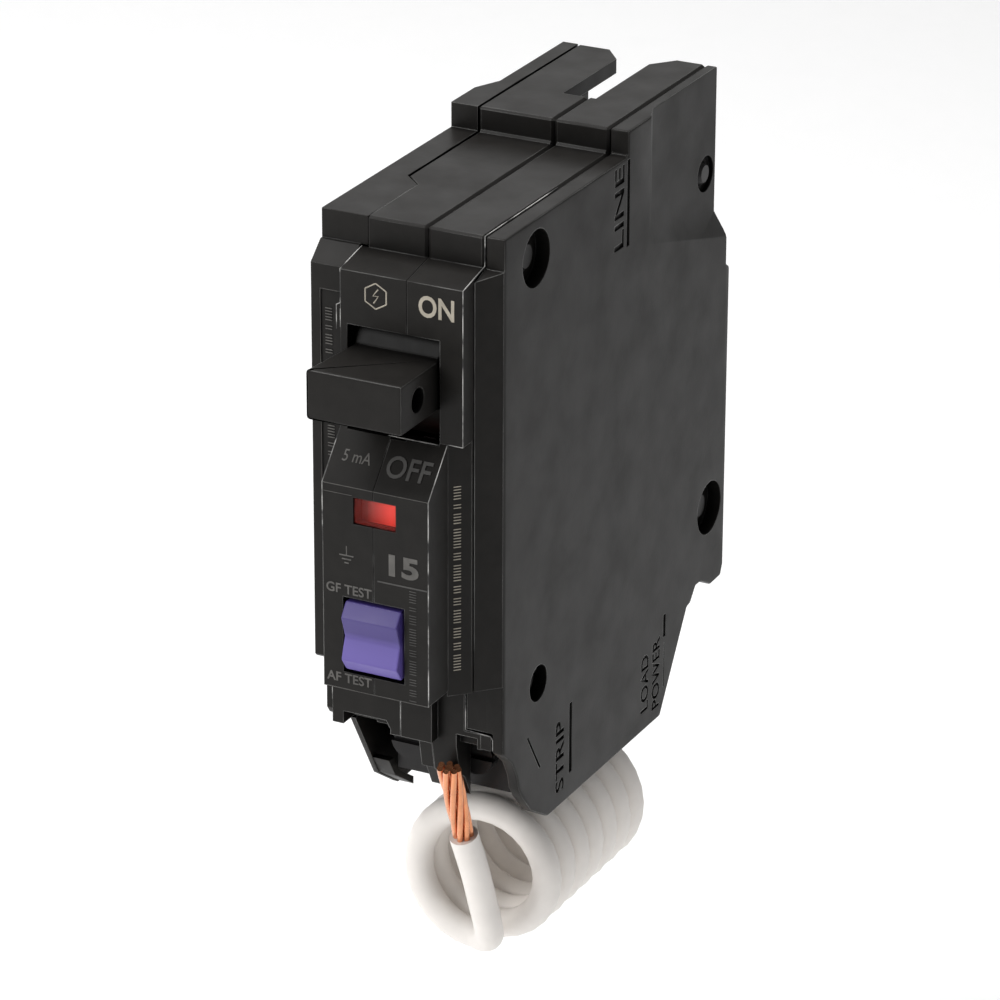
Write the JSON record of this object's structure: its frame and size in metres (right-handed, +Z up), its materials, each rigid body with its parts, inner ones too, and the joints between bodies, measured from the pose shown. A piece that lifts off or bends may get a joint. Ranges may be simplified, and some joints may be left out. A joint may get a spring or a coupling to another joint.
{
  "type": "ground-fault circuit breaker",
  "caption": "Narrow plug-on circuit breaker with a toggle handle, status window, rocker test button, wire terminals and a coiled white neutral lead.",
  "frame": {"origin": "middle of the flat rear face, which faces the panel", "axes": "+X to the right, +Y to the rear (into the panel), +Z up, from the wire end to the stab end"},
  "size_m": [0.0257, 0.0823, 0.111],
  "materials": {
    "case_black": "satin moulded",
    "steel": "satin",
    "copper": "bright drawn copper",
    "brass": "satin",
    "contact_silver": "satin",
    "board_green": "solder mask",
    "chip_black": "matte",
    "capacitor_blue": "gloss sleeve",
    "varistor_blue": "epoxy dipped",
    "resistor_tan": "lacquered",
    "core_amber": "taped winding",
    "button_purple": "satin moulded",
    "flag_red": "gloss",
    "lens_clear": "clear moulded",
    "wire_white": "extruded insulation",
    "grommet_black": "matte"
  },
  "bodies": {
    "case": {"left_cover": "case_black", "center_left_case": "case_black", "center_right_case": "case_black", "right_cover": "case_black", "rivet_front_top": "steel", "rivet_rear_bottom": "steel", "rivet_front_bottom": "steel", "rivet_rear_top": "steel", "handle_pin": "steel", "contact_arm_pin": "steel", "cradle_pin": "steel", "armature_pin": "steel", "stationary_contact": "contact_silver", "line_jaw": "copper", "arc_chute": "steel", "bimetal": "brass", "magnet_yoke": "steel", "solenoid_frame": "steel", "solenoid_coil": "copper", "plunger_spring": "steel", "circuit_board": "board_green", "control_chip": "chip_black", "capacitor": "capacitor_blue", "varistor": "varistor_blue", "resistor": "resistor_tan", "ground_fault_sensor": "core_amber", "arc_fault_sensor": "core_amber", "load_lug": "brass", "neutral_lug": "brass", "load_strap": "copper", "neutral_strap": "copper", "flexible_braid": "copper", "window_lens": "lens_clear", "test_contact": "brass", "lead_grommet": "grommet_black", "pigtail_lead": "wire_white", "pigtail_coil": "wire_white", "pigtail_tail": "wire_white", "pigtail_strands": "copper"},
    "handle": {"handle": "case_black"},
    "contact_arm": {"contact_arm": "copper", "moving_contact": "contact_silver"},
    "cradle": {"cradle": "steel", "toggle_spring": "steel"},
    "armature": {"armature": "steel"},
    "plunger": {"solenoid_plunger": "steel"},
    "trip_flag": {"trip_flag": "flag_red"},
    "test_button": {"test_button": "button_purple"},
    "load_screw": {"load_screw": "steel"},
    "neutral_screw": {"neutral_screw": "steel"},
    "load_clamp": {"load_clamp": "steel"},
    "neutral_clamp": {"neutral_clamp": "steel"}
  },
  "joints": [
    {"name": "handle_tilt", "type": "hinge", "parent": "case", "child": "handle", "pos_m": [-0.00005, -0.0618, 0.0289], "axis": [1, 0, 0], "range_deg": [-12.5, 18]},
    {"name": "contact_arm_swing", "type": "hinge", "parent": "case", "child": "contact_arm", "pos_m": [0.0063, -0.0538, 0.0305], "axis": [1, 0, 0], "range_deg": [-18.1, 12.6]},
    {"name": "cradle_latch", "type": "hinge", "parent": "case", "child": "cradle", "pos_m": [0.0085, -0.0548, 0.013], "axis": [1, 0, 0], "range_deg": [0, 14], "stiffness_Nm_per_rad": 0.01, "springref_deg": -11.46},
    {"name": "trip_flag_slide", "type": "slide", "parent": "case", "child": "trip_flag", "axis": [0, 0, 1], "range_m": [-0.0046, 0]},
    {"name": "armature_tilt", "type": "hinge", "parent": "case", "child": "armature", "pos_m": [0.0063, -0.0376, 0.009], "axis": [1, 0, 0], "range_deg": [0, 3.5], "stiffness_Nm_per_rad": 0.01, "springref_deg": -8.59},
    {"name": "solenoid_push", "type": "slide", "parent": "case", "child": "plunger", "axis": [0, -1, 0], "range_m": [0, 0.0024], "stiffness_N_per_m": 100, "springref_m": -0.002},
    {"name": "test_rocker", "type": "hinge", "parent": "case", "child": "test_button", "pos_m": [-0.0002, -0.0747, -0.0047], "axis": [1, 0, 0], "range_deg": [-7, 7], "stiffness_Nm_per_rad": 0.02},
    {"name": "load_screw_turn", "type": "hinge", "parent": "case", "child": "load_screw", "pos_m": [0.0061, -0.0626, -0.0261], "axis": [0, -1, 0], "continuous": true},
    {"name": "neutral_screw_turn", "type": "hinge", "parent": "case", "child": "neutral_screw", "pos_m": [-0.0035, -0.0626, -0.0261], "axis": [0, -1, 0], "continuous": true},
    {"name": "load_clamp_slide", "type": "slide", "parent": "case", "child": "load_clamp", "axis": [0, 1, 0], "range_m": [0, 0.004]},
    {"name": "neutral_clamp_slide", "type": "slide", "parent": "case", "child": "neutral_clamp", "axis": [0, 1, 0], "range_m": [0, 0.004]}
  ],
  "couplings": [
    {"joint": "contact_arm_swing", "follows": "handle_tilt", "ratio": -1},
    {"joint": "trip_flag_slide", "follows": "cradle_latch", "m_per_rad": -0.0188}
  ]
}
